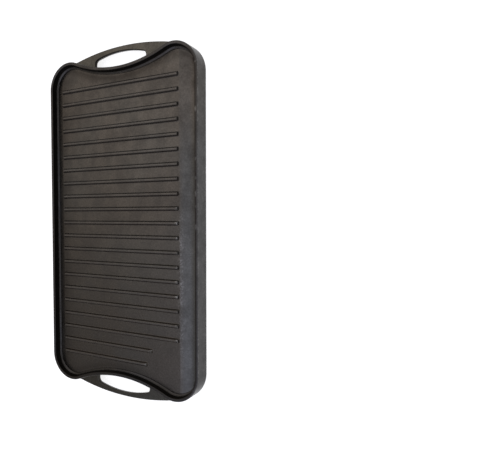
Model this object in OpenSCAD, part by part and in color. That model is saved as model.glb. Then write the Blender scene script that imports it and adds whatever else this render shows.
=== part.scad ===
// Reversible cast-iron griddle plate: ribbed grilling face up, flat frying face down.
// It is a single casting. Each region of the casting is drawn as a solid of its own,
// and the regions meet face to face.
// X runs across the plate, Y along it and Z up. The plate rests on its lower crest, at z = 0.

/* [Tray] */
// Width across the two long walls
tray_w = 260; // [230:1:300]
// Length over the corner bumps, without the handles
tray_l = 475; // [430:1:540]
// Height from the lower crest to the upper crest
tray_h = 23; // [20:0.5:28]
// Outer radius of the four corners
corner_r = 38; // [30:1:46]
// How far each end wall dips in between its corners
waist_dip = 18.5; // [12:0.5:24]

/* [Walls] */
// Width of the crest on top of the walls, the same on both faces
crest_w = 4.2; // [3.6:0.1:6]
// Rounding of the crest's edges
crest_edge_r = 1.2; // [0.6:0.1:1.7]
// How far the inner side of a wall leans out between crest and foot
wall_lean = 1; // [0.4:0.1:2.4]
// Fillet where the inner side of a wall runs into the web
foot_r = 1.8; // [1.6:0.1:3.8]

/* [Web] */
// Depth of the flat frying face, measured from the lower crest
flat_depth = 7; // [5.6:0.2:8.4]
// Thickness of the web between the flat face and the ribbed face
web_t = 7; // [5.5:0.1:8.5]
// Width of the wide grease gutter along the right wall
grease_gutter_w = 26; // [14:0.5:30]
// Depth of the wide grease gutter
grease_gutter_depth = 1.8; // [0.8:0.1:2.6]
// Width of the narrow gutter along the left wall
side_gutter_w = 9.5; // [3:0.5:12]
// Depth of the narrow gutter
side_gutter_depth = 0.8; // [0.4:0.1:1.4]
// Flat land left on each side of a gutter
gutter_land = 0.5; // [0.3:0.1:2]

/* [Ribs] */
// Number of grill ribs
rib_count = 21; // [15:1:23]
// Distance from the corner bumps to the middle of the outermost ribs
rib_margin = 40.5; // [36:0.5:60]
// Width of a rib at its root
rib_w = 5.4; // [4:0.1:7]
// Height of a rib above the web
rib_h = 3; // [2:0.1:4.5]
// How far each flank and each end of a rib leans in
rib_lean = 1; // [0.3:0.1:1.3]
// Rounding of a rib's top edges
rib_edge_r = 0.9; // [0.3:0.1:1]
// Radius of the bare round patch in the front right corner, where ribs stop short
patch_r = 40; // [25:1:55]
// Distance from the right wall's outer side to the middle of the patch
patch_from_right = 47; // [40:1:65]
// Distance from the front corner bumps to the middle of the patch
patch_from_front = 34.5; // [25:0.5:60]

/* [Handles] */
// How far the handles reach past the corner bumps
handle_reach = 12.3; // [8:0.1:20]
// Thickness of the handles
handle_t = 8; // [6:0.1:10]
// Depth of the handles' lower face, measured from the lower crest
handle_depth = 5; // [3:0.2:8]
// Angle from a corner's crown to where the handle's outer edge runs out on it
run_out_angle = 5; // [3:0.5:9]
// Width of the grip bar at its middle
grip_w = 8; // [6:0.1:12]
// Length of the hand hole, across the plate
hole_w = 91; // [80:1:100]
// Radius of the hand hole's outer side
hole_arc_r = 150; // [110:5:260]
// Rounding of the hand hole's corners
hole_corner_r = 5.5; // [3:0.1:6]

/* [Hidden] */
$fn = 360;
// Steps on the small roundings of the wall and rib sections
arc_steps = 4;
// Steps on the hand hole's outer side and on half a gutter's section
long_arc_steps = 8;
// How far a cutting shape reaches past the face that it cuts
cut_past = 1;

half_w = tray_w / 2;
half_l = tray_l / 2;
web_top = flat_depth + web_t;
// From a wall's outer side to the upright face where wall and web meet
joint_inset = crest_w + wall_lean + foot_r;

// Middles of the corner arcs, in the first quadrant
corner_x = half_w - corner_r;
corner_y = half_l - corner_r;
// The waist arc touches both corner arcs of its end, and its middle lies outside the tray
waist_r = (corner_x ^ 2 + waist_dip ^ 2) / (2 * waist_dip) - corner_r;
waist_y = half_l - waist_dip + waist_r;
waist_angle = asin(corner_x / (waist_r + corner_r));
corner_sweep = 90 + waist_angle;

// The handle's outer edge is an arc through its middle and a point on each corner arc
handle_end_y = half_l + handle_reach;
run_out_x = corner_x + corner_r * sin(run_out_angle);
run_out_drop = handle_end_y - corner_y - corner_r * cos(run_out_angle);
handle_arc_r = (run_out_x ^ 2 + run_out_drop ^ 2) / (2 * run_out_drop);
// How far the handle's blank runs past that point, inside the corner arc
handle_lap = 3;
// Hairline gap between a handle's run-out and the corner that it lies along
corner_gap = 0.05;

// Hand hole: its outer side, then the middles of its outer and inner corners
hole_arc_y = handle_end_y - grip_w - hole_arc_r;
hole_corner_x = hole_w / 2 - hole_corner_r;
hole_outer_y = hole_arc_y + sqrt((hole_arc_r - hole_corner_r) ^ 2 - hole_corner_x ^ 2);
hole_arc_angle = asin(hole_corner_x / (hole_arc_r - hole_corner_r));
// The inner corners run into the end wall at this angle
hole_meet_angle = 45;
waist_wall_y = waist_y - sqrt(waist_r ^ 2 - hole_corner_x ^ 2);
hole_inner_y = waist_wall_y + hole_corner_r * cos(hole_meet_angle);

// Ribs run from gutter to gutter
rib_left = -half_w + joint_inset + side_gutter_w + 2 * gutter_land;
rib_right = half_w - joint_inset - grease_gutter_w - 2 * gutter_land;
rib_pitch = (tray_l - 2 * rib_margin) / (rib_count - 1);
patch_x = half_w - patch_from_right;
patch_y = -half_l + patch_from_front;

// Ribs are numbered from the rear end to the front end
RIBS = [for (i = [1 : rib_count]) str("rib_", i < 10 ? "0" : "", i)];

iron_web = [0.29, 0.28, 0.26];
iron_wall = [0.33, 0.33, 0.32];
iron_rib = [0.31, 0.30, 0.28];

// Points on an arc about [cx, cy], from angle a0 to angle a1
function arc(cx, cy, r, a0, a1, steps = arc_steps) =
    [for (i = [0 : steps]) let (a = a0 + (a1 - a0) * i / steps) [cx + r * cos(a), cy + r * sin(a)]];

// Lower and upper half of a wall's section: distance in from its outer side, then height
lower_half = concat(
    arc(crest_edge_r, crest_edge_r, crest_edge_r, 180, 270),
    arc(crest_w - crest_edge_r, crest_edge_r, crest_edge_r, 270, 360),
    arc(joint_inset, flat_depth - foot_r, foot_r, 180, 90));
upper_half = concat(
    arc(joint_inset, web_top + foot_r, foot_r, 270, 180),
    arc(crest_w - crest_edge_r, tray_h - crest_edge_r, crest_edge_r, 0, 90),
    arc(crest_edge_r, tray_h - crest_edge_r, crest_edge_r, 90, 180));
wall_section = concat(lower_half, upper_half);
// A corner's section takes in the floor as far as the corner's middle
corner_section = concat(lower_half, [[corner_r, flat_depth], [corner_r, web_top]], upper_half);

// Section of a rib across its length, standing on y = 0
rib_top_w = rib_w - 2 * rib_lean;
rib_flank_angle = atan(rib_lean / rib_h);
rib_section = concat(
    [[-rib_w / 2, 0], [rib_w / 2, 0]],
    arc(rib_top_w / 2 - rib_edge_r, rib_h - rib_edge_r, rib_edge_r, rib_flank_angle, 90),
    arc(-rib_top_w / 2 + rib_edge_r, rib_h - rib_edge_r, rib_edge_r, 90, 180 - rib_flank_angle));

// Hand hole of the rear end. Its inner side reaches under the end wall.
hole_floor_y = half_l - waist_dip - cut_past;
hole_half = concat(
    [[hole_corner_x, hole_floor_y]],
    arc(hole_corner_x, hole_inner_y, hole_corner_r, 270, 360),
    arc(hole_corner_x, hole_outer_y, hole_corner_r, 0, 90 - hole_arc_angle),
    [for (i = [1 : long_arc_steps])
        let (a = hole_arc_angle * (1 - i / long_arc_steps))
        [hole_arc_r * sin(a), hole_arc_y + hole_arc_r * cos(a)]]);
hole_outline = concat(
    hole_half,
    [for (i = [len(hole_half) - 2 : -1 : 0]) [-hole_half[i][0], hole_half[i][1]]]);

// Tray without its four corners, seen from above and moved in by an inset
module middle_outline(inset) {
    side_x = half_w - inset;
    difference() {
        polygon([
            [side_x, -corner_y], [side_x, corner_y], [corner_x, corner_y],
            [0, waist_y],
            [-corner_x, corner_y], [-side_x, corner_y], [-side_x, -corner_y], [-corner_x, -corner_y],
            [0, -waist_y],
            [corner_x, -corner_y]]);
        for (y = [-waist_y, waist_y])
            translate([0, y])
                circle(waist_r + inset);
    }
}

// Half of a gutter's hollow section: distance from its middle line, then height.
// The lowest step is level, and the others follow an arc.
function gutter_half(width, depth) =
    let (r = (width ^ 2 / 4 + depth ^ 2) / (2 * depth), half_angle = asin(width / 2 / r))
    concat(
        [for (i = [0 : long_arc_steps])
            let (a = half_angle * i / long_arc_steps)
            [r * sin(a), i < 2 ? -depth : r - depth - r * cos(a)]],
        [[width / 2, cut_past], [0, cut_past]]);

// Cutter for a gutter along Y with round ends, its rim at z = 0
module gutter(width, depth, length) {
    half = gutter_half(width, depth);
    run = length - width;
    for (side = [0, 1])
        mirror([side, 0, 0])
            translate([0, run / 2, 0])
                rotate([90, 0, 0])
                    linear_extrude(run)
                        polygon(half);
    for (turn = [0, 180])
        rotate([0, 0, turn])
            translate([0, run / 2, 0])
                rotate_extrude(angle = 180)
                    polygon(half);
}

// Web between the corners, with the flat face below and the gutters in its ribbed face
module web() {
    gutter_l = 2 * corner_y;
    grease_x = half_w - joint_inset - gutter_land - grease_gutter_w / 2;
    side_x = -half_w + joint_inset + gutter_land + side_gutter_w / 2;
    color(iron_web)
        difference() {
            translate([0, 0, flat_depth])
                linear_extrude(web_t)
                    middle_outline(joint_inset);
            translate([grease_x, 0, web_top])
                gutter(grease_gutter_w, grease_gutter_depth, gutter_l);
            translate([side_x, 0, web_top])
                gutter(side_gutter_w, side_gutter_depth, gutter_l);
        }
}

// Straight wall along the left side
module left_wall() {
    color(iron_wall)
        translate([-half_w, corner_y, 0])
            rotate([90, 0, 0])
                linear_extrude(2 * corner_y)
                    polygon(wall_section);
}

module right_wall() {
    mirror([1, 0, 0])
        left_wall();
}

// Rear right corner: the wall's section and the floor inside it, turned about the corner's middle
module corner() {
    color(iron_wall)
        translate([corner_x, corner_y, 0])
            rotate_extrude(angle = corner_sweep)
                polygon([for (p = corner_section) [corner_r - p[0], p[1]]]);
}

module rear_right_corner() {
    corner();
}

module rear_left_corner() {
    mirror([1, 0, 0])
        corner();
}

module front_right_corner() {
    mirror([0, 1, 0])
        corner();
}

module front_left_corner() {
    mirror([1, 0, 0])
        mirror([0, 1, 0])
            corner();
}

// Rear end wall: it bows in between the two rear corners
module rear_wall() {
    color(iron_wall)
        translate([0, waist_y, 0])
            rotate([0, 0, -90 - waist_angle])
                rotate_extrude(angle = 2 * waist_angle)
                    polygon([for (p = wall_section) [waist_r + p[0], p[1]]]);
}

module front_wall() {
    mirror([0, 1, 0])
        rear_wall();
}

// Rear handle: a flat bar that bows out from the end wall, with the hand hole through it
module rear_handle() {
    blank_x = run_out_x + handle_lap;
    color(iron_wall)
        translate([0, 0, handle_depth])
            linear_extrude(handle_t)
                difference() {
                    intersection() {
                        translate([0, handle_end_y - handle_arc_r])
                            circle(handle_arc_r);
                        translate([-blank_x, corner_y])
                            square([2 * blank_x, corner_r + handle_reach + cut_past]);
                    }
                    middle_outline(0);
                    for (x = [-corner_x, corner_x])
                        translate([x, corner_y])
                            circle(corner_r + corner_gap);
                    polygon(hole_outline);
                }
}

module front_handle() {
    mirror([0, 1, 0])
        rear_handle();
}

// Right end of a rib: at the grease gutter, or earlier where it would run onto the bare patch
function rib_end(y) =
    abs(y - patch_y) < patch_r
        ? min(rib_right, patch_x - sqrt(patch_r ^ 2 - (y - patch_y) ^ 2))
        : rib_right;

// One grill rib, counted from the rear end
module rib(i) {
    y = half_l - rib_margin - i * rib_pitch;
    x_end = rib_end(y);
    color(iron_rib)
        translate([0, y, web_top])
            intersection() {
                translate([rib_left, 0, 0])
                    rotate([90, 0, 90])
                        linear_extrude(x_end - rib_left)
                            polygon(rib_section);
                translate([0, rib_w, 0])
                    rotate([90, 0, 0])
                        linear_extrude(2 * rib_w)
                            polygon([[rib_left, 0], [x_end, 0],
                                     [x_end - rib_lean, rib_h], [rib_left + rib_lean, rib_h]]);
            }
}

web();
left_wall();
right_wall();
rear_wall();
front_wall();
rear_left_corner();
rear_right_corner();
front_left_corner();
front_right_corner();
rear_handle();
front_handle();
for (i = [0 : rib_count - 1])
    rib(i);
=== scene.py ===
"""Looks of the camp griddle plate: one iron casting, ribbed face up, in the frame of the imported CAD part."""

import math
from typing import NamedTuple

import bmesh
import bpy
import numpy as np
from mathutils import Matrix, Vector, noise


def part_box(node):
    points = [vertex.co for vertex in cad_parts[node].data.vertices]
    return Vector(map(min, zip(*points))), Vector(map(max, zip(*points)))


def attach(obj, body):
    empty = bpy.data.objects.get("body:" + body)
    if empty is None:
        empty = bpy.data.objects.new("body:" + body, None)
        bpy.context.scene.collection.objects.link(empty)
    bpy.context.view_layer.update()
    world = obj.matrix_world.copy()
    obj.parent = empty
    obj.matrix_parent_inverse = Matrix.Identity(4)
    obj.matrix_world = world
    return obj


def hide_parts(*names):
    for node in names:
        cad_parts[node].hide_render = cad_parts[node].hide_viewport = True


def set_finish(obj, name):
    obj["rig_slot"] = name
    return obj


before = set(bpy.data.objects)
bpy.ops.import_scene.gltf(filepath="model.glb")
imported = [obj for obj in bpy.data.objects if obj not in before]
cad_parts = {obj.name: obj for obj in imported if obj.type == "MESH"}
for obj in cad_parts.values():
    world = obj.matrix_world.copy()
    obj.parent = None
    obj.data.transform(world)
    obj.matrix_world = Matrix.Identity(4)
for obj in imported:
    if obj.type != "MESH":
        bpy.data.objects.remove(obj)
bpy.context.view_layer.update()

MM = 0.001
QUARTER = math.pi / 2


class Swell(NamedTuple):
    """Smooth unevenness of a sand casting: the height and length of its waves, and where its noise starts."""

    height: float
    length: float
    seed: float

    def at(self, x, y):
        """Height of the waves at a place."""
        spot = Vector((x / self.length + self.seed, y / self.length - self.seed, self.seed))
        return self.height * noise.noise(spot)


class Handle(NamedTuple):
    """What differs between the two ends.

    That is the side of the plate, the bar's width, the hole's half width and middle line, and the painted
    shade at the hole's edge and all over.
    """

    side: int
    bar_w: float
    hole_half: float
    hole_x: float
    hole_painted_shade: float
    painted_shade: float


class Iron(NamedTuple):
    """Finish of a region: tones of its clouds and of a painted sky reflection beside the gutter, the colour of
    painted shade and stains, roughness and metal.
    """

    warm: tuple
    cool: tuple
    gutter: tuple
    painted_shade: tuple
    rough: float
    metallic: float


# Camera: where it stands as seen from its aim point on the floor
AIM = Vector((0.15759, -0.00839, 0.0))
AIM_DISTANCE = 0.58990
AZIMUTH = math.radians(3.992)
ELEVATION = math.radians(62.558)
ROLL = math.radians(0.057)
LENS = 32.838
SHIFT_X = 0.05
CLIP_START = 10.0 * MM

# Sizes of the casting, from the boxes of its CAD nodes
left_lo, left_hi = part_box("left_wall")
corner_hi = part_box("rear_right_corner")[1]
waist_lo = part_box("rear_wall")[0]
web_lo, web_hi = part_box("web")
grip_lo, grip_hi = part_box("rear_handle")
TRAY_H = left_hi.z
HALF_W = -left_lo.x
HALF_L = corner_hi.y
JOINT = left_hi.x - left_lo.x  # width of the wall nodes, from the outer side to the web
CORNER_Y = left_hi.y
CORNER_R = HALF_L - CORNER_Y
CORNER_X = HALF_W - CORNER_R
WAIST_DIP = HALF_L - JOINT - waist_lo.y  # how far the ends bow inwards
WAIST_R = (CORNER_X ** 2 + WAIST_DIP ** 2) / (2 * WAIST_DIP) - CORNER_R
WAIST_Y = HALF_L - WAIST_DIP + WAIST_R
WAIST_ANGLE = math.asin(CORNER_X / (WAIST_R + CORNER_R))
WEB_LOW = web_lo.z
WEB_TOP = web_hi.z
GRIP_LOW = grip_lo.z
GRIP_TOP = grip_hi.z
GRIP_END = grip_hi.y
RIBS = sorted(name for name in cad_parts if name.startswith("rib_"))

# Points of a mesh that are closer than this become one
MERGE = 1e-4 * MM

# Section of the walls
CREST_W = 4.2 * MM
CREST_EDGE_R = 0.8 * MM
CREST_INNER_R = 0.6 * MM
WALL_LEAN = 0.5 * MM
FOOT_R = 3.0 * MM
LEFT_FOOT_R = 1.1 * MM
LAP = 1.6 * MM  # how far the rim runs on under the web's floor
LAP_SINK = 0.03 * MM  # how deep it lies there
RIM_BOW = Swell(0.06 * MM, 60.0 * MM, 7.7)  # how far the wall stands out of its true place
CREST_DIP = Swell(0.04 * MM, 50.0 * MM, 1.3)  # how far the crest lies below its true height
LOW_DIP_SHARE = 0.5  # the same on the lower crest, as a share of the upper one

# Steps of the rim along each stretch of its path and round its section, and levels of its outer side
SIDE_STEPS = 130
CORNER_STEPS = 36
WAIST_STEPS = 54
SECTION_STEPS = 9
OUTER_LEVELS = (0.2, 0.4, 0.6, 0.8, 0.93)  # shares of the way from the crest's edge to mid-height

# Painted shade and rubbed edges of the walls; a high power keeps them close to the fillet's end or the edge
LAP_PAINTED_SHADE = 0.3
FOOT_PAINTED_SHADE = 0.78
SMALL_FOOT_LESS_SHADE = 0.2  # how much less painted shade a foot has than its share of the full radius
# painted shade in the right foot's corner, in the rear half
RIGHT_FOOT_PAINTED_SHADE = 0.7
CREST_PAINTED_SHADE = 0.35
# painted shade on the front end's crest
FRONT_PAINTED_SHADE = 0.45
# painted dark reflection along the inner edge of the right crest
RIGHT_EDGE_PAINTED_SHADE = 1.0
EDGE_RUB = 0.5
LOW_RUB = 0.10
CLOSE_POWER = 4
NICK = 1.8  # bright nicks on the inner edge of the right crest
NICK_PATCHES = Swell(1.0, 7.0 * MM, 4.4)
NICK_FROM = 0.42  # wave height at which a nick starts
NICK_FADE = 0.1

# How the sides of the rim differ, by the part of the outward normal along X or Y
RIGHT_FROM = 0.5
RIGHT_FADE = 0.3
FRONT_FADE = 0.4
LEFT_END = -0.995  # up to here the foot has the left side's radius
LEFT_FADE = 0.2

# Gutters of the ribbed face
CREASE_W = 1.6 * MM
CREASE_SWAY = Swell(0.9 * MM, 12.0 * MM, 2.2)
GREASE_X = 96.6 * MM
GREASE_SLOPE = 0.115
GREASE_RAMP = 15.0 * MM
GREASE_BEND_R = 40.0 * MM
SIDE_X = 112.8 * MM
SIDE_SLOPE = 0.05
SIDE_RAMP = 4.0 * MM
SIDE_BEND_R = 60.0 * MM

# Web: its edge inside the walls' feet, its unevenness, and its points across and along the plate
WEB_CLEAR = 0.1 * MM
WEB_SWELL = Swell(0.05 * MM, 45.0 * MM, 3.1)
FLAT_SWELL = Swell(0.04 * MM, 60.0 * MM, 5.9)
WEB_ROWS = 161
EDGE_COLUMNS = np.array([0.0, 0.2, 0.6]) * MM
EDGE_GAP = 1.2 * MM  # where the first stretch of even steps starts, from the edge
CREASE_COLUMNS = np.array([-0.8, -0.3, 0.0, 0.3, 0.8]) * MM
CREASE_GAP = 1.6 * MM  # where the next ones start, from a gutter's crease
STRETCH_GAP = 1.0 * MM  # how far from a crease or an edge a stretch ends
SIDE_STEP = 0.8 * MM
MIDDLE_STEP = 3.6 * MM
GREASE_STEP = 1.0 * MM

# Stains and rubbed specks of the grease gutter, and painted shade beside the right wall
STAIN = 0.35
STAIN_PATCHES = Swell(1.0, 16.0 * MM, 8.3)
STAIN_FULL = 0.5  # wave height at which a stain is at its darkest
STAIN_END = -20.0 * MM  # where the stained rear half ends
STAIN_FADE = 60.0 * MM
# painted shade on the gutter beside the right wall, in the rear half
RIGHT_WALL_PAINTED_SHADE = 0.8
RIGHT_WALL_SHADE_W = 12.0 * MM
SPECKS = 0.45
SPECK_W = 4.0 * MM
SPECK_END = -190.0 * MM  # where the specks end towards the front

# Painted shade on the web beside the left wall and the ends
WALL_PAINTED_SHADE = 0.60
WALL_SHADE_W = 13.0 * MM
END_SHADE_W = 6.5 * MM
REAR_PAINTED_SHADE = 0.5
REAR_SHADE_FROM = -110.0 * MM
REAR_SHADE_FADE = 40.0 * MM
REAR_MIDDLE_SHADE = 0.6
REAR_MIDDLE_W = 60.0 * MM
FRONT_RIGHT_SHADE = -0.6
FRONT_RIGHT_FROM = 20.0 * MM
FRONT_RIGHT_FADE = 50.0 * MM

# Ribs: shape, and the points of their outline and their roundings
RIB_EDGE_R = 0.9 * MM
RIB_LEAN = 1.0 * MM
RIB_END_R = 1.1 * MM
RIB_ROOT_R = 0.9 * MM
RIB_LEAST = 0.02 * MM  # least radius of a loop's corners, and least flat between them
RIB_SINK = 0.04 * MM  # how deep the fillet's edge lies in the web
RIB_SWELL_H = 0.10 * MM
RIB_SWELL_L = 20.0 * MM
RIB_SEED_STEP = 1.7
RIB_LONG_SIDE = 20.0 * MM
RIB_LONG_STEPS = 46  # steps along a side that is longer than the above
RIB_CORNER_STEPS = 4
RIB_ROUND_POINTS = 6
RIB_SKIRT_LOOPS = 3  # loops of the fillet that follow the web's own level

# Painted shade on the ribs' flanks, and the rubbed ends of the ribs past the first few
FRONT_FLANK_PAINTED_SHADE = 0.5
FRONT_RIB_PAINTED_SHADE = 0.9
REAR_FLANK_PAINTED_SHADE = 0.9
FLANK_FADE = 1.0 * MM
RIB_END_RUB = 3.5
RIB_END_BARE = 0.8 * MM
RIB_END_FADE = 2.0 * MM
SOOTED_RIBS = 9  # ribs from the rear whose ends are not rubbed

# Handles
RUN_OUT = math.radians(5.0)  # angle round the corner at which the bar's own arc meets it
RUN_OUT_LEFT = 0.0  # angle at which the bar ends on the left
RUN_OUT_RIGHT = math.radians(20.0)  # and on the right
RUN_OUT_LAP = 0.05  # angle by which the bar's hidden end runs on inside the corner
GRIP_SKEW = 0.012  # slope of the bar's outer edge, outwards to the right
SKEW_FADE = 24.0 * MM
GRIP_EDGE_R = 1.3 * MM
GRIP_RING = 0.5 * MM  # flat ring of the face beside its round edge
GRIP_RUB = 0.2
BURIED = 5.0 * MM  # how deep the handle's hidden side lies in the rim
HOLE_ARC_R = 150.0 * MM
HOLE_CORNER_R = 5.5 * MM
HOLE_FOOT_R = 3.0 * MM  # fillet between the hole's end and the rim
HOLE_FOOT_SINK = 0.2 * MM  # how deep that fillet ends in the rim
HOLE_LOW_END = 6.0 * MM  # width of the rounding of the hole's lower edge at its ends
HOLE_LOW_SIDE = 2.8 * MM  # and along its side
HOLE_LOW_H = 6.4 * MM  # height of that rounding
HANDLES = {
    "rear_handle": Handle(side=1, bar_w=7.4 * MM, hole_half=45.4 * MM, hole_x=-3.0 * MM,
                          hole_painted_shade=1.7, painted_shade=0.0),
    "front_handle": Handle(side=-1, bar_w=5.9 * MM, hole_half=46.7 * MM, hole_x=-1.6 * MM,
                           hole_painted_shade=0.6, painted_shade=0.25),
}

# Where a point of a handle's outline lies, and the steps along each stretch of it
ON_BAR = "bar"
ON_HOLE = "hole"
IN_RIM = "rim"
BAR_STEPS = 47
IN_CORNER_STEPS = 13
IN_WAIST_STEPS = 11
HOLE_FOOT_STEPS = 8
HOLE_CORNER_STEPS = 11
HOLE_SIDE_STEPS = 23
GRIP_EDGE_POINTS = 8

# Fillets between the handles and the rim; their radius eases in and out over a number of stations
FILLET_R = 1.8 * MM
FILLET_TAIL = 0.5 * MM  # how far its edges run on
FILLET_SINK = 0.05 * MM  # how deep they end
FILLET_ROOT = 0.6 * MM  # how deep its hidden corner lies
FILLET_WAIST_STEPS = 25
FILLET_CORNER_STEPS = 24
FILLET_POINTS = 8
EASE_IN = 6
EASE_IN_FROM = 0.3
EASE_OUT = 14
EASE_OUT_TO = 0.5
EASE_LEAST = 0.05

# Finishes of the iron by material slot
# dark colours of painted shade (the first also darkens the gutter's stains), and the colour of bare iron
SHADE_AND_STAIN_DARK = (0.012, 0.009, 0.007)
BROWN_PAINTED_SHADE = (0.035, 0.020, 0.012)
BARE_IRON = (0.20, 0.196, 0.188)
SPECULAR_TINT = (0.75, 0.75, 0.75)
# each holds a warm tone, a cool tone, and a bluish painted reflection of the sky beside the gutter
WEB_TONES = ((0.0795, 0.0721, 0.0638), (0.0770, 0.0724, 0.0657), (0.0735, 0.0730, 0.0690))
WALL_TONES = ((0.0660, 0.0620, 0.0570), (0.0640, 0.0645, 0.0660), (0.0650, 0.0635, 0.0622))
HANDLE_TONES = ((0.0765, 0.0730, 0.0630), (0.0750, 0.0735, 0.0660), (0.0760, 0.0735, 0.0660))
FINISHES = {
    "web_iron": Iron(*WEB_TONES, SHADE_AND_STAIN_DARK, rough=0.30, metallic=1.0),
    "wall_iron": Iron(*WALL_TONES, SHADE_AND_STAIN_DARK, rough=0.32, metallic=1.0),
    "handle_iron": Iron(*HANDLE_TONES, SHADE_AND_STAIN_DARK, rough=0.27, metallic=1.0),
    "rib_iron": Iron(*WEB_TONES, BROWN_PAINTED_SHADE, rough=0.30, metallic=0.8),
}
# where the painted sky reflection lies: past the grease gutter's crease, fading out towards the rear
GUTTER_SKY_REFLECTION_X = (GREASE_X - 2.0 * MM, GREASE_X + 9.0 * MM)
GUTTER_SKY_REFLECTION_Y = (50.0 * MM, 180.0 * MM)
SHADE_AND_STAIN_COVER = 0.55  # share of the iron that the dark colour hides where the wear value is -1: painted shade, and stains
PATCH_BLOTCH = 0.4
PATCH_SPECKLE = 0.6
ROUGH_SPREAD = 0.05  # how far blotches are rougher or smoother
BARE_POLISH = 0.06  # how much smoother bare iron is
GRAIN_STRENGTH = 0.4
GRAIN_H = 0.06 * MM
GRAIN_SPECKLE = 0.8

# Floor: what it gives back to the plate, and what is seen of it
FLOOR_HALF = 6.0
FLOOR_LIT = (0.8, 0.8, 0.8)
FLOOR_SEEN = (0.5, 0.5, 0.5)
FLOOR_GLOW = 0.80
WHITE = (1.0, 1.0, 1.0)

# Studio sky: its colours round the plate, and where one passes into the next along an axis
SKY_LEFT_LOW = (0.42, 0.39, 0.36)
SKY_LEFT_FRONT = (0.26, 0.245, 0.22)
SKY_LEFT_REAR = (1.75, 1.60, 1.50)
SKY_OVER_FRONT = (1.30, 1.35, 1.65)
SKY_OVER_REAR = (1.00, 0.97, 0.97)
SKY_RIGHT = (0.60, 0.60, 0.62)
FRONT_TO_REAR = (-0.40, 0.50)
LEFT_TO_OVER = (-0.66, -0.26)
OVER_TO_RIGHT = (0.10, 0.50)
LEFT_LOW_TO_HIGH = (0.50, 0.80)
HORIZON_TO_SKY = (0.12, 0.45)


def smooth(t):
    """Eases from 0 at t = 0 to 1 at t = 1."""
    t = min(1.0, max(0.0, t))
    return t * t * (3 - 2 * t)


def gutter_drop(run, slope, ramp, bend_r):
    """Depth of a gutter at a distance past its crease: a ramp, then a bend that rises to the wall."""
    if run <= 0:
        return 0.0
    start = run * run / (2 * CREASE_W) if run < CREASE_W else run - CREASE_W / 2
    return slope * start - max(0.0, run - ramp) ** 2 / (2 * bend_r)


def web_level(x, y):
    """Height of the ribbed face's floor."""
    crease = GREASE_X + CREASE_SWAY.at(0.0, y)
    grease = gutter_drop(x - crease, GREASE_SLOPE, GREASE_RAMP, GREASE_BEND_R)
    side = gutter_drop(-SIDE_X - x, SIDE_SLOPE, SIDE_RAMP, SIDE_BEND_R)
    return WEB_TOP - grease - side + WEB_SWELL.at(x, y)


def rear_share(y):
    """How far a place lies in the stained rear half of the plate's right side."""
    return smooth((y - STAIN_END) / STAIN_FADE)


def right_share(nx):
    """How far the rim faces right."""
    return smooth((nx - RIGHT_FROM) / RIGHT_FADE)


def add_piece(name, verts, faces, wear_and_shade, slot, nodes):
    """A smooth mesh piece with flat caps that stands for CAD nodes.

    Its wear value is below 0 for painted shade and for stains, and above 0 where it is rubbed bare.
    """
    mesh = bpy.data.meshes.new(name)
    mesh.from_pydata(verts, [], faces)
    mesh.polygons.foreach_set("use_smooth", [len(f) == 4 for f in faces])
    layer = mesh.attributes.new("wear_and_shade", "FLOAT", "POINT")
    layer.data.foreach_set("value", np.asarray(wear_and_shade, np.float32))
    joined = bmesh.new()
    joined.from_mesh(mesh)
    bmesh.ops.remove_doubles(joined, verts=joined.verts, dist=MERGE)
    joined.to_mesh(mesh)
    joined.free()
    piece = bpy.data.objects.new("cast_" + name, mesh)
    bpy.context.scene.collection.objects.link(piece)
    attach(piece, "root")
    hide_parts(*nodes)
    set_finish(piece, slot)
    return piece


def strip_faces(rows, cols, close_rows=False, close_cols=False):
    """Quads of a grid of rows times cols points, numbered row by row."""
    faces = []
    for i in range(rows if close_rows else rows - 1):
        here = i * cols
        following = (i + 1) % rows * cols
        for j in range(cols if close_cols else cols - 1):
            k = (j + 1) % cols
            faces.append((here + j, here + k, following + k, following + j))
    return faces


def arc(cx, cy, r, a0, a1, steps):
    """Points and outward normals along an arc, angles in radians."""
    angles = np.linspace(a0, a1, steps + 1)
    return [(cx + r * math.cos(a), cy + r * math.sin(a), math.cos(a), math.sin(a)) for a in angles]


def waist_arc(r, a0, a1, steps):
    """Points and outward normals along the rear end's waist, by the angle from its middle towards +X."""
    angles = np.linspace(a0, a1, steps + 1)
    return [(r * math.sin(a), WAIST_Y - r * math.cos(a), -math.sin(a), math.cos(a)) for a in angles]


def rim_path():
    """Outer side of the rim, anticlockwise: x, y and the outward normal."""
    turn = QUARTER + WAIST_ANGLE
    half = [(HALF_W, y, 1.0, 0.0) for y in np.linspace(-CORNER_Y, CORNER_Y, SIDE_STEPS + 1)[:-1]]
    half += arc(CORNER_X, CORNER_Y, CORNER_R, 0.0, turn, CORNER_STEPS)[:-1]
    half += waist_arc(WAIST_R, WAIST_ANGLE, -WAIST_ANGLE, WAIST_STEPS)[:-1]
    half += arc(-CORNER_X, CORNER_Y, CORNER_R, math.pi - turn, math.pi, CORNER_STEPS)[:-1]
    # the other half is the same, turned half round
    return half + [(-x, -y, -nx, -ny) for x, y, nx, ny in half]


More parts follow.
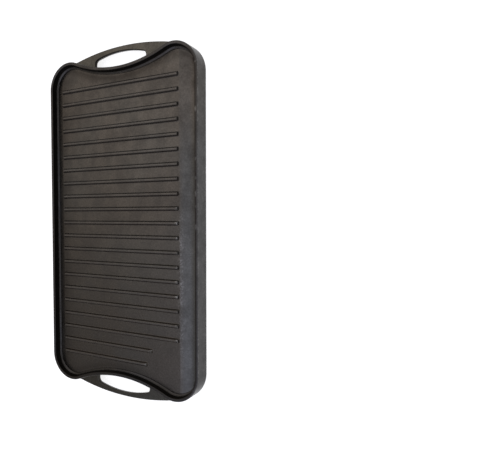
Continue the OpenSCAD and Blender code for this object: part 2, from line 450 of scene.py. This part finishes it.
def wall_section(foot_r):
    """Upper half of the wall's section, from under the web's floor up over the crest to the outer side.

    Each point has its inset from the outer side, its height above the web's top at the wall's foot or
    its depth below the crest, whether it is at the foot, and its wear value: painted shade below 0, rubbing
    above.
    """
    lean = math.atan2(WALL_LEAN, TRAY_H - WEB_TOP)
    foot = CREST_W + WALL_LEAN + foot_r
    points = [(foot + LAP, -LAP_SINK, True, -LAP_PAINTED_SHADE)]
    # foot fillet, tangent to the floor and to the leaning wall; a wide one has more painted shade
    painted_shade = min(FOOT_PAINTED_SHADE, foot_r / FOOT_R - SMALL_FOOT_LESS_SHADE)
    for a in np.linspace(0, QUARTER - lean, SECTION_STEPS + 1):
        rub = -painted_shade - (1 - painted_shade) * math.sin(a) ** CLOSE_POWER
        points.append((foot - foot_r * math.sin(a), foot_r * (1 - math.cos(a)), True, rub))
    # straight stretch of the wall, in full painted shade, whose last point keeps the crest's wear off it
    edge_in = CREST_W - CREST_INNER_R * (1 - math.cos(lean))
    edge_low = CREST_INNER_R * (1 - math.sin(lean))
    points.append((edge_in + CREST_EDGE_R * math.tan(lean), edge_low + CREST_EDGE_R, False, -1.0))
    # inner edge of the crest, its middle and its outer edge; painted shade fades from the wall over the crest
    # to a rubbed outer edge
    for a in np.linspace(lean, QUARTER, SECTION_STEPS):
        inset = CREST_W - CREST_INNER_R * (1 - math.cos(a))
        rub = -CREST_PAINTED_SHADE - (1 - CREST_PAINTED_SHADE) * math.cos(a)
        points.append((inset, CREST_INNER_R * (1 - math.sin(a)), False, rub))
    points.append((CREST_W / 2, 0.0, False, -CREST_PAINTED_SHADE))
    for a in np.linspace(0, QUARTER, SECTION_STEPS):
        rub = -CREST_PAINTED_SHADE * math.cos(a) + EDGE_RUB * math.sin(a) ** CLOSE_POWER
        points.append((CREST_EDGE_R * (1 - math.sin(a)), CREST_EDGE_R * (1 - math.cos(a)), False, rub))
    # outer side, to just above the middle of the wall's height
    for level in OUTER_LEVELS:
        points.append((0.0, CREST_EDGE_R + level * (TRAY_H / 2 - CREST_EDGE_R), False, 0.0))
    return points


def crest_wear_and_shade(x, y, nx, ny, inset):
    """Painted shade on the front end's crest, and on the right a painted dark reflection along the inner edge
    with a few bright nicks.
    """
    inner = smooth((inset - CREST_EDGE_R) / (CREST_W / 2))
    right = right_share(nx)
    nick = smooth((NICK_PATCHES.at(x, y) - NICK_FROM) / NICK_FADE)
    front = FRONT_PAINTED_SHADE * smooth(-ny / FRONT_FADE) * (1 - right)
    return right * inner * (NICK * nick - RIGHT_EDGE_PAINTED_SHADE) - front


def build_rim():
    """The wall right round the plate as one continuous casting."""
    path = rim_path()
    verts = []
    wear_and_shade = []
    for x, y, nx, ny in path:
        foot_r = LEFT_FOOT_R + (FOOT_R - LEFT_FOOT_R) * smooth((nx - LEFT_END) / LEFT_FADE)
        foot = CREST_W + WALL_LEAN + foot_r
        level = web_level(x - foot * nx, y - foot * ny)
        bow = RIM_BOW.at(x, y)
        dip = CREST_DIP.height + CREST_DIP.at(x, y)
        # painted shade in the right foot's corner, in the rear half
        right_foot_shade = RIGHT_FOOT_PAINTED_SHADE * rear_share(y) * right_share(nx)
        upper = wall_section(foot_r)
        section = []
        for inset, height, at_foot, rub in upper:
            if at_foot:
                section.append((inset, level + height, rub - right_foot_shade))
            else:
                worn = crest_wear_and_shade(x, y, nx, ny, inset) if height < CREST_EDGE_R else 0.0
                section.append((inset - bow, TRAY_H - dip - height, rub + worn))
        for inset, height, at_foot, rub in reversed(upper):
            worn = LOW_RUB if inset < CREST_W else 0.0
            if at_foot:
                section.append((inset, WEB_LOW - height, rub + worn))
            else:
                section.append((inset - bow, LOW_DIP_SHARE * dip + height, rub + worn))
        verts += [(x - inset * nx, y - inset * ny, z) for inset, z, _ in section]
        wear_and_shade += [rub for _, _, rub in section]
    faces = strip_faces(len(path), len(section), close_rows=True, close_cols=True)
    walls = ["left_wall", "right_wall", "rear_wall", "front_wall"]
    corners = ["rear_left_corner", "rear_right_corner", "front_left_corner", "front_right_corner"]
    return add_piece("rim", verts, faces, wear_and_shade, "wall_iron", walls + corners)


def end_reach(x, inset):
    """How far the inside of the tray reaches along Y at x, at an inset from the outer side."""
    r = CORNER_R - inset
    if abs(x) > CORNER_X - r * math.sin(WAIST_ANGLE):
        across = min(r, abs(x) - CORNER_X)
        return CORNER_Y + math.sqrt(r * r - across * across)
    return WAIST_Y - math.sqrt((WAIST_R + inset) ** 2 - x * x)


def gutter_wear(x, y):
    """Dark stains in the grease gutter's rear half, and rubbed specks along its crease in the front half."""
    rear = rear_share(y)
    inside = smooth((x - GREASE_X) / CREASE_W)
    stain = STAIN * inside * rear * smooth(STAIN_PATCHES.at(x, y) / STAIN_FULL)
    along = (1 - rear) * smooth((y - SPECK_END) / STAIN_FADE)
    specks = SPECKS * along * math.exp(-((x - GREASE_X - CREASE_W) / SPECK_W) ** 2)
    return specks - stain


def end_painted_shade(x, y):
    """Share of the painted shade beside the walls: most in the middle of the rear end, least at the front
    right.
    """
    if y > 0:
        off_left = smooth((x - REAR_SHADE_FROM) / REAR_SHADE_FADE)
        middle = 1 - smooth(abs(x) / REAR_MIDDLE_W)
        return 1 + off_left * (REAR_PAINTED_SHADE + REAR_MIDDLE_SHADE * middle)
    return 1 + FRONT_RIGHT_SHADE * smooth((x - FRONT_RIGHT_FROM) / FRONT_RIGHT_FADE)


def web_columns(half):
    """Where the web has points across the plate: close together at its edges and in its gutters."""
    return np.concatenate([
        -half + EDGE_COLUMNS,
        np.arange(-half + EDGE_GAP, -SIDE_X + STRETCH_GAP, SIDE_STEP),
        np.arange(-SIDE_X + CREASE_GAP, GREASE_X - STRETCH_GAP, MIDDLE_STEP),
        GREASE_X + CREASE_COLUMNS,
        np.arange(GREASE_X + CREASE_GAP, half - STRETCH_GAP, GREASE_STEP),
        half - EDGE_COLUMNS[::-1],
    ])


def build_web():
    """The plate between the faces: ribbed face above, flat face below."""
    inset = CREST_W + WALL_LEAN + LEFT_FOOT_R + WEB_CLEAR
    half = HALF_W - inset
    columns = web_columns(half)
    rows = np.linspace(-1, 1, WEB_ROWS)
    verts = []
    wear_and_shade = []
    for ribbed in (True, False):
        for t in rows:
            for x in columns:
                reach = end_reach(x, inset)
                y = t * reach
                # painted shade on the web beside the left wall and the ends
                from_wall = min((x + half) / WALL_SHADE_W, (1 - abs(t)) * reach / END_SHADE_W)
                painted_shade = WALL_PAINTED_SHADE * min(1.0, from_wall) * math.exp(-max(0.0, from_wall - 1))
                if ribbed:
                    # painted shade on the gutter beside the right wall, in the rear half
                    by_wall = RIGHT_WALL_PAINTED_SHADE * rear_share(y) * smooth(1 - (half - x) / RIGHT_WALL_SHADE_W)
                    verts.append((x, y, web_level(x, y)))
                    wear_and_shade.append(gutter_wear(x, y) - by_wall - painted_shade * end_painted_shade(x, y))
                else:
                    verts.append((x, y, WEB_LOW - FLAT_SWELL.height - FLAT_SWELL.at(x, y)))
                    wear_and_shade.append(-painted_shade)
    n_rows = len(rows)
    n_cols = len(columns)
    top = strip_faces(n_rows, n_cols)
    below = n_rows * n_cols
    faces = top + [tuple(below + i for i in reversed(f)) for f in top]
    # the edge between the two faces, once round the grid
    edge = list(range(n_cols))
    edge += [i * n_cols + n_cols - 1 for i in range(1, n_rows)]
    edge += [(n_rows - 1) * n_cols + j for j in range(n_cols - 2, -1, -1)]
    edge += [i * n_cols for i in range(n_rows - 2, 0, -1)]
    for a, b in zip(edge, edge[1:] + edge[:1]):
        faces.append((b, a, below + a, below + b))
    return add_piece("web", verts, faces, wear_and_shade, "web_iron", ["web"])


def rib_loop(lo, hi, grow):
    """Rounded rectangle round a rib's box, grown outwards, with as many points whatever its size."""
    x0 = lo.x - grow
    x1 = hi.x + grow
    y0 = lo.y - grow
    y1 = hi.y + grow
    r = min(max(RIB_LEAST, RIB_END_R + grow), (y1 - y0 - RIB_LEAST) / 2)
    loop = []
    for k, (cx, cy) in enumerate(((x1 - r, y1 - r), (x0 + r, y1 - r), (x0 + r, y0 + r), (x1 - r, y0 + r))):
        loop += [p[:2] for p in arc(cx, cy, r, k * QUARTER, (k + 1) * QUARTER, RIB_CORNER_STEPS)]
    points = []
    for (ax, ay), (bx, by) in zip(loop, loop[1:] + loop[:1]):
        steps = RIB_LONG_STEPS if abs(bx - ax) > RIB_LONG_SIDE else 1
        for k in range(steps):
            points.append((ax + (bx - ax) * k / steps, ay + (by - ay) * k / steps))
    return points


def build_rib(number, name):
    """A low rib with leaning flanks and ends, round top edges and a fillet at its root."""
    lo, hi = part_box(name)
    height = hi.z - WEB_TOP
    loops = []
    # the skirt of the root fillet, the flank, then the rounding over to the flat top
    lean = math.atan2(RIB_LEAN, height)
    for a in np.linspace(0, QUARTER - lean, RIB_ROUND_POINTS):
        loops.append((RIB_ROOT_R * (1 - math.sin(a)), RIB_ROOT_R * (1 - math.cos(a)), math.sin(a)))
    for a in np.linspace(lean, QUARTER, RIB_ROUND_POINTS):
        inset = RIB_LEAN + RIB_EDGE_R * (1 - math.cos(a))
        loops.append((-inset, height - RIB_EDGE_R * (1 - math.sin(a)), math.cos(a)))
    # the flank towards the front end has painted shade, and both have more on the front ribs
    forward = number / len(RIBS)
    front_flank_shade = FRONT_FLANK_PAINTED_SHADE + FRONT_RIB_PAINTED_SHADE * forward
    rear_flank_shade = REAR_FLANK_PAINTED_SHADE * forward ** 2
    uneven = Swell(RIB_SWELL_H, RIB_SWELL_L, number * RIB_SEED_STEP)
    verts = []
    wear_and_shade = []
    for k, (grow, z, steep) in enumerate(loops):
        sink = RIB_SINK if k == 0 else 0.0
        rubbed = RIB_END_RUB if number > SOOTED_RIBS and z > height / 2 else 0.0
        for x, y in rib_loop(lo, hi, grow):
            floor = web_level(x, y) if k < RIB_SKIRT_LOOPS else WEB_TOP
            verts.append((x, y, floor + z - sink + uneven.at(x, y) * z / height))
            near_end = smooth(1 - (hi.x - x - RIB_END_BARE) / RIB_END_FADE)
            front = smooth(((lo.y + hi.y) / 2 - y) / FLANK_FADE)
            wear_and_shade.append(rubbed * near_end - steep * (front_flank_shade * front + rear_flank_shade * (1 - front)))
    n = len(verts) // len(loops)
    faces = strip_faces(len(loops), n, close_cols=True)
    # the loop's points lie in pairs across the rib, so quads close its top and its bottom
    last = (len(loops) - 1) * n
    for i in range(n // 2 - 1):
        across = (i, i + 1, n - 2 - i, n - 1 - i)
        faces.append(tuple(last + k for k in across))
        faces.append(tuple(reversed(across)))
    return add_piece(name, verts, faces, wear_and_shade, "rib_iron", [name])


def hole_foot(hole_end):
    """Where the fillet at a hole's end meets the rim: its centre and its angle round the waist."""
    x = hole_end - HOLE_FOOT_R
    r = WAIST_R - HOLE_FOOT_R + HOLE_FOOT_SINK
    return x, WAIST_Y - math.sqrt(r ** 2 - x ** 2), math.asin(x / r)


def handle_half(handle, skew, run_out, middle):
    """Plan of the half of a rear handle on +X, with the hole's middle line at x = middle.

    It runs along the bar's outer edge, back inside the rim and round the hole's end to its middle line.
    Each point has where it lies and its share of the painted shade at the hole's edge.
    """
    end_x = CORNER_X + CORNER_R * math.sin(RUN_OUT)
    drop = GRIP_END - CORNER_Y - CORNER_R * math.cos(RUN_OUT)
    bar_r = (end_x ** 2 + drop ** 2) / (2 * drop)
    run_x = CORNER_X + CORNER_R * math.sin(run_out)
    points = []
    # outer edge; where the bar stands out more, that fades away at the run-out
    for a in np.linspace(0, math.asin(run_x / bar_r), BAR_STEPS + 1):
        x = bar_r * math.sin(a)
        lift = skew * x * (smooth((run_x - x) / SKEW_FADE) if skew > 0 else 1.0)
        points.append((x, GRIP_END - bar_r * (1 - math.cos(a)) + lift, ON_BAR, 0.0))
    # into the corner and back inside the rim
    foot_x, foot_y, foot_a = hole_foot(middle + handle.hole_half)
    start = QUARTER - run_out - RUN_OUT_LAP
    buried = arc(CORNER_X, CORNER_Y, CORNER_R - BURIED, start, QUARTER + WAIST_ANGLE, IN_CORNER_STEPS)
    buried += waist_arc(WAIST_R + BURIED, WAIST_ANGLE, foot_a, IN_WAIST_STEPS)[1:]
    points += [(x, y, IN_RIM, 0.0) for x, y, _, _ in buried]
    # the hole's end: fillet from the rim, end, outer corner, then the long outer side
    fillet = arc(foot_x, foot_y, HOLE_FOOT_R, foot_a - QUARTER, 0, HOLE_FOOT_STEPS)
    points += [(x, y, ON_HOLE, k / HOLE_FOOT_STEPS) for k, (x, y, _, _) in enumerate(fillet)]
    corner_x = handle.hole_half - HOLE_CORNER_R
    arc_y = GRIP_END - handle.bar_w - HOLE_ARC_R
    corner_y = arc_y + math.sqrt((HOLE_ARC_R - HOLE_CORNER_R) ** 2 - corner_x ** 2)
    turn = QUARTER - math.asin(corner_x / (HOLE_ARC_R - HOLE_CORNER_R))
    outer = arc(middle + corner_x, corner_y, HOLE_CORNER_R, 0, turn, HOLE_CORNER_STEPS)
    outer += arc(middle, arc_y, HOLE_ARC_R, turn, QUARTER, HOLE_SIDE_STEPS)[1:]
    return points + [(x, y, ON_HOLE, 1.0) for x, y, _, _ in outer]


def handle_outline(handle):
    """Plan of a rear handle, whose bar stands out a little more on the gutter's side."""
    right = handle_half(handle, GRIP_SKEW, RUN_OUT_RIGHT, handle.hole_x)
    left = handle_half(handle, -GRIP_SKEW, RUN_OUT_LEFT, -handle.hole_x)
    # the two points on the middle line are not repeated
    return right + [(-x, *rest) for x, *rest in reversed(left[1:-1])]


def plan_normals(points):
    """Outward normals of the edges that show on a closed clockwise outline, and nothing inside the rim."""
    normals = []
    for before, (x, y, place, _), after in zip(points[-1:] + points, points, points[1:] + points[:1]):
        ax, ay = (x, y) if before[2] == IN_RIM else before[:2]
        bx, by = (x, y) if after[2] == IN_RIM else after[:2]
        size = math.hypot(bx - ax, by - ay)
        normals.append((0.0, 0.0) if place == IN_RIM else ((ay - by) / size, (bx - ax) / size))
    return normals


def handle_fillet(handle, sign, top):
    """Points and faces of the fillet between a handle's face and the rim, on one side of the middle.

    It runs from the hand hole to the run-out. Its ends thin out, and its edges run on a little under the
    rim's skin and the handle's face.
    """
    face_z = GRIP_TOP if top else GRIP_LOW
    up = 1 if top else -1
    run_out = RUN_OUT_RIGHT if sign > 0 else RUN_OUT_LEFT
    clear_of_hole = HOLE_FOOT_R / 2 + (0.0 if top else HOLE_LOW_END)
    start = hole_foot(handle.hole_half + sign * handle.hole_x)[2] + clear_of_hole / WAIST_R
    stations = waist_arc(WAIST_R, start, WAIST_ANGLE, FILLET_WAIST_STEPS)[:-1]
    turn = QUARTER + WAIST_ANGLE
    stations += arc(CORNER_X, CORNER_Y, CORNER_R, turn, QUARTER - run_out, FILLET_CORNER_STEPS)
    count = len(stations)
    verts = []
    for i, (x, y, nx, ny) in enumerate(stations):
        thin_in = min(1.0, (i + EASE_IN_FROM) / EASE_IN)
        thin_out = min(1.0, (count - i - EASE_OUT_TO) / EASE_OUT)
        ease = max(EASE_LEAST, thin_in * thin_out)
        r = FILLET_R * ease
        reach = r + FILLET_TAIL * ease
        section = [(-FILLET_ROOT, -FILLET_ROOT), (-FILLET_SINK, reach)]
        for a in np.linspace(0, QUARTER, FILLET_POINTS):
            section.append((r * (1 - math.cos(a)), r * (1 - math.sin(a))))
        section.append((reach, -FILLET_SINK))
        bow = RIM_BOW.at(sign * x, handle.side * y)
        for out, rise in section:
            verts.append((sign * (x + (out + bow) * nx), y + (out + bow) * ny, face_z + up * rise))
    cols = len(section)
    faces = strip_faces(count, cols, close_cols=True)
    faces.append(tuple(reversed(range(cols))))
    faces.append(tuple(range((count - 1) * cols, count * cols)))
    if sign * up < 0:
        faces = [tuple(reversed(f)) for f in faces]
    return verts, faces


def build_handle(name, handle):
    """An end handle: a bar with round edges round its hand hole, run out onto the corners.

    The hole is rounded wide on the flat face's side, where the fingers bear. Both handles are drawn at the
    rear end, and the front one is then mirrored.
    """
    outline = handle_outline(handle)
    normals = plan_normals(outline)
    # turns of the round edge from the side to the face, and None for a ring on the face itself
    turns = [*np.linspace(0, QUARTER, GRIP_EDGE_POINTS), None]
    verts = []
    wear_and_shade = []
    for upper in (True, False):
        for a in reversed(turns) if upper else turns:
            for (x, y, place, painted_shade), (nx, ny) in zip(outline, normals):
                wide = GRIP_EDGE_R
                high = GRIP_EDGE_R
                if place == ON_HOLE and not upper:
                    wide = HOLE_LOW_SIDE + (HOLE_LOW_END - HOLE_LOW_SIDE) * abs(nx)
                    high = HOLE_LOW_H
                inset = wide + GRIP_RING if a is None else wide * (1 - math.cos(a))
                depth = 0.0 if a is None else high * (1 - math.sin(a))
                z = GRIP_TOP - depth if upper else GRIP_LOW + depth
                verts.append((x - inset * nx, y - inset * ny, z))
                rub = 0.0 if a is None or place == ON_HOLE else GRIP_RUB * math.sin(2 * a)
                at_hole = painted_shade * max(0.0, 1 - inset / (GRIP_EDGE_R + GRIP_RING))
                # painted shade all over the handle and at the hole's edge
                wear_and_shade.append(rub - handle.painted_shade - handle.hole_painted_shade * at_hole)
    n = len(outline)
    levels = 2 * len(turns)
    faces = strip_faces(levels, n, close_cols=True)
    faces.append(tuple(reversed(range(n))))
    faces.append(tuple(range((levels - 1) * n, levels * n)))
    for sign in (1, -1):
        for top in (True, False):
            more_verts, more_faces = handle_fillet(handle, sign, top)
            faces += [tuple(len(verts) + i for i in f) for f in more_faces]
            verts += more_verts
            wear_and_shade += [0.0] * len(more_verts)
    if handle.side < 0:
        verts = [(x, -y, z) for x, y, z in verts]
        faces = [tuple(reversed(f)) for f in faces]
    return add_piece(name, verts, faces, wear_and_shade, "handle_iron", [name])


class Nodes:
    """A shader's node tree, with short calls for the nodes that are used most."""

    def __init__(self, tree):
        self.tree = tree

    def feed(self, socket, value):
        """Links another node's output to a socket, or sets a plain colour or number there."""
        if isinstance(value, bpy.types.NodeSocket):
            self.tree.links.new(value, socket)
        elif isinstance(value, tuple):
            socket.default_value = (*value, 1.0)
        else:
            socket.default_value = value

    def add(self, kind, inputs=None, **settings):
        """A node with its settings and what its inputs are fed."""
        made = self.tree.nodes.new(kind)
        for key, value in settings.items():
            setattr(made, key, value)
        for key, value in (inputs or {}).items():
            self.feed(made.inputs[key], value)
        return made

    def maths(self, operation, a, b):
        """The result of one operation on two values."""
        return self.add("ShaderNodeMath", {0: a, 1: b}, operation=operation).outputs["Value"]

    def mix(self, factor, low, high):
        """A colour between two others."""
        ends = {"Factor": factor, "A": low, "B": high}
        return self.add("ShaderNodeMix", ends, data_type="RGBA").outputs["Result"]

    def ramp(self, source, low, high, to_low=0.0, to_high=1.0):
        """Eases from one value to another while the source goes from low to high."""
        ends = {"Value": source, "From Min": low, "From Max": high, "To Min": to_low, "To Max": to_high}
        return self.add("ShaderNodeMapRange", ends, interpolation_type="SMOOTHSTEP").outputs["Result"]

    def axes(self, kind):
        """X, Y and Z of one of the texture coordinates."""
        place = self.add("ShaderNodeTexCoord").outputs[kind]
        return self.add("ShaderNodeSeparateXYZ", {"Vector": place}).outputs


def cast_iron(name, iron):
    """Seasoned cast iron: warm and cooler clouds, a painted sky reflection beside the gutter, painted shade
    and stains, bare edges and grain.
    """
    material = bpy.data.materials.new(name)
    material.use_nodes = True
    nodes = Nodes(material.node_tree)
    shader = material.node_tree.nodes["Principled BSDF"].inputs
    nodes.feed(shader["Metallic"], iron.metallic)
    nodes.feed(shader["Specular Tint"], SPECULAR_TINT)
    place = nodes.add("ShaderNodeTexCoord").outputs["Object"]

    def cloud(scale, detail, roughness):
        inputs = {"Vector": place, "Scale": scale, "Detail": detail, "Roughness": roughness}
        return nodes.add("ShaderNodeTexNoise", inputs).outputs["Fac"]

    broad = cloud(scale=9.0, detail=3.0, roughness=0.5)
    blotch = cloud(scale=46.0, detail=5.0, roughness=0.6)
    speckle = cloud(scale=420.0, detail=3.0, roughness=0.6)
    sand = cloud(scale=1500.0, detail=4.0, roughness=0.65)

    # tone: clouds, and a bluish painted reflection of the sky beside the gutter that ends towards the rear
    axes = nodes.axes("Object")
    clouds = nodes.mix(nodes.ramp(broad, low=0.38, high=0.66), iron.warm, iron.cool)
    beside = nodes.ramp(axes["X"], *GUTTER_SKY_REFLECTION_X)
    forward = nodes.ramp(axes["Y"], *GUTTER_SKY_REFLECTION_Y, to_low=1.0, to_high=0.0)
    tone = nodes.mix(nodes.maths("MULTIPLY", beside, forward), clouds, iron.gutter)

    # shade: blotches and specks that are lighter or darker
    blotches = nodes.ramp(blotch, low=0.3, high=0.7, to_low=0.87, to_high=1.11)
    fields = nodes.ramp(broad, low=0.35, high=0.65, to_low=0.97, to_high=1.03)
    specks = nodes.ramp(speckle, low=0.3, high=0.75, to_low=-0.11, to_high=0.18)
    shade = nodes.maths("ADD", nodes.maths("MULTIPLY", blotches, fields), specks)
    shaded = nodes.add("ShaderNodeVectorMath", {0: tone, "Scale": shade}, operation="SCALE")

    # painted shade and stains where the wear value is below 0, and patches of bare iron where it is above
    wear_and_shade = nodes.add("ShaderNodeAttribute", attribute_name="wear_and_shade").outputs["Fac"]
    shaded_and_stained = nodes.mix(nodes.maths("MULTIPLY", wear_and_shade, -SHADE_AND_STAIN_COVER), shaded.outputs["Vector"], iron.painted_shade)
    blotch_part = nodes.maths("MULTIPLY", blotch, PATCH_BLOTCH)
    patchy = nodes.maths("ADD", blotch_part, nodes.maths("MULTIPLY", speckle, PATCH_SPECKLE))
    rub = nodes.maths("MAXIMUM", wear_and_shade, 0.0)
    bare = nodes.maths("MULTIPLY", rub, nodes.ramp(patchy, low=0.48, high=0.62))
    nodes.feed(shader["Base Color"], nodes.mix(bare, shaded_and_stained, BARE_IRON))
    rough = nodes.ramp(blotch, low=0.3, high=0.7, to_low=iron.rough + ROUGH_SPREAD,
                       to_high=iron.rough - ROUGH_SPREAD)
    polish = nodes.maths("MULTIPLY", bare, BARE_POLISH)
    nodes.feed(shader["Roughness"], nodes.maths("SUBTRACT", rough, polish))

    grain = nodes.maths("ADD", sand, nodes.maths("MULTIPLY", speckle, GRAIN_SPECKLE))
    bump = {"Height": grain, "Strength": GRAIN_STRENGTH, "Distance": GRAIN_H}
    nodes.feed(shader["Normal"], nodes.add("ShaderNodeBump", bump).outputs["Normal"])
    return material


def lay_floor():
    """A white floor that keeps the plate's shadow and glows where it is seen, directly or as a reflection."""
    mesh = bpy.data.meshes.new("floor")
    corners = [(FLOOR_HALF * x, FLOOR_HALF * y, 0.0) for x, y in ((-1, -1), (1, -1), (1, 1), (-1, 1))]
    mesh.from_pydata(corners, [], [(0, 1, 2, 3)])
    floor = bpy.data.objects.new("floor", mesh)
    bpy.context.scene.collection.objects.link(floor)
    material = bpy.data.materials.new("floor_white")
    material.use_nodes = True
    material.node_tree.nodes.clear()
    nodes = Nodes(material.node_tree)
    lit = nodes.add("ShaderNodeBsdfDiffuse", {"Color": FLOOR_LIT}).outputs[0]
    matt = nodes.add("ShaderNodeBsdfDiffuse", {"Color": FLOOR_SEEN}).outputs[0]
    glow = nodes.add("ShaderNodeEmission", {"Color": WHITE, "Strength": FLOOR_GLOW}).outputs[0]
    bright = nodes.add("ShaderNodeAddShader", {0: matt, 1: glow}).outputs[0]
    ray = nodes.add("ShaderNodeLightPath").outputs
    seen = nodes.maths("MAXIMUM", ray["Is Camera Ray"], ray["Is Glossy Ray"])
    seen = nodes.maths("MAXIMUM", seen, ray["Is Transmission Ray"])
    either = nodes.add("ShaderNodeMixShader", {0: seen, 1: lit, 2: bright}).outputs[0]
    nodes.add("ShaderNodeOutputMaterial", {"Surface": either})
    mesh.materials.append(material)


def light_the_scene():
    """A large soft studio sky, dim on the left and at the front, over a white horizon."""
    world = bpy.data.worlds.new("studio")
    bpy.context.scene.world = world
    world.use_nodes = True
    nodes = Nodes(world.node_tree)
    way = nodes.axes("Generated")
    ends = nodes.ramp(way["Y"], *FRONT_TO_REAR)
    left = nodes.mix(ends, SKY_LEFT_FRONT, SKY_LEFT_REAR)
    left = nodes.mix(nodes.ramp(way["Z"], *LEFT_LOW_TO_HIGH), SKY_LEFT_LOW, left)
    over = nodes.mix(ends, SKY_OVER_FRONT, SKY_OVER_REAR)
    dome = nodes.mix(nodes.ramp(way["X"], *LEFT_TO_OVER), left, over)
    dome = nodes.mix(nodes.ramp(way["X"], *OVER_TO_RIGHT), dome, SKY_RIGHT)
    sky = nodes.mix(nodes.ramp(way["Z"], *HORIZON_TO_SKY), WHITE, dome)
    nodes.feed(world.node_tree.nodes["Background"].inputs["Color"], sky)


def place_camera():
    """The camera at the photograph's viewing angle, with +Y upwards in the picture."""
    flat = math.cos(ELEVATION)
    back = Vector((flat * math.cos(AZIMUTH), flat * math.sin(AZIMUTH), math.sin(ELEVATION)))
    ahead = Vector((0, 1, 0))
    up = (ahead - ahead.dot(back) * back).normalized()
    turn = Matrix((up.cross(back), up, back)).transposed() @ Matrix.Rotation(-ROLL, 3, "Z")
    camera = bpy.data.objects.new("camera", bpy.data.cameras.new("camera"))
    camera.matrix_world = Matrix.Translation(AIM + AIM_DISTANCE * back) @ turn.to_4x4()
    camera.data.lens = LENS
    camera.data.shift_x = SHIFT_X
    camera.data.clip_start = CLIP_START
    bpy.context.scene.collection.objects.link(camera)
    bpy.context.scene.camera = camera


place_camera()
lay_floor()
light_the_scene()
bpy.context.scene.view_settings.view_transform = "Standard"

materials = {slot: cast_iron(slot, iron) for slot, iron in FINISHES.items()}
pieces = [build_rim(), build_web()]
pieces += [build_handle(name, handle) for name, handle in HANDLES.items()]
pieces += [build_rib(number, name) for number, name in enumerate(RIBS, 1)]
for piece in pieces:
    piece.data.materials.append(materials[piece["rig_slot"]])
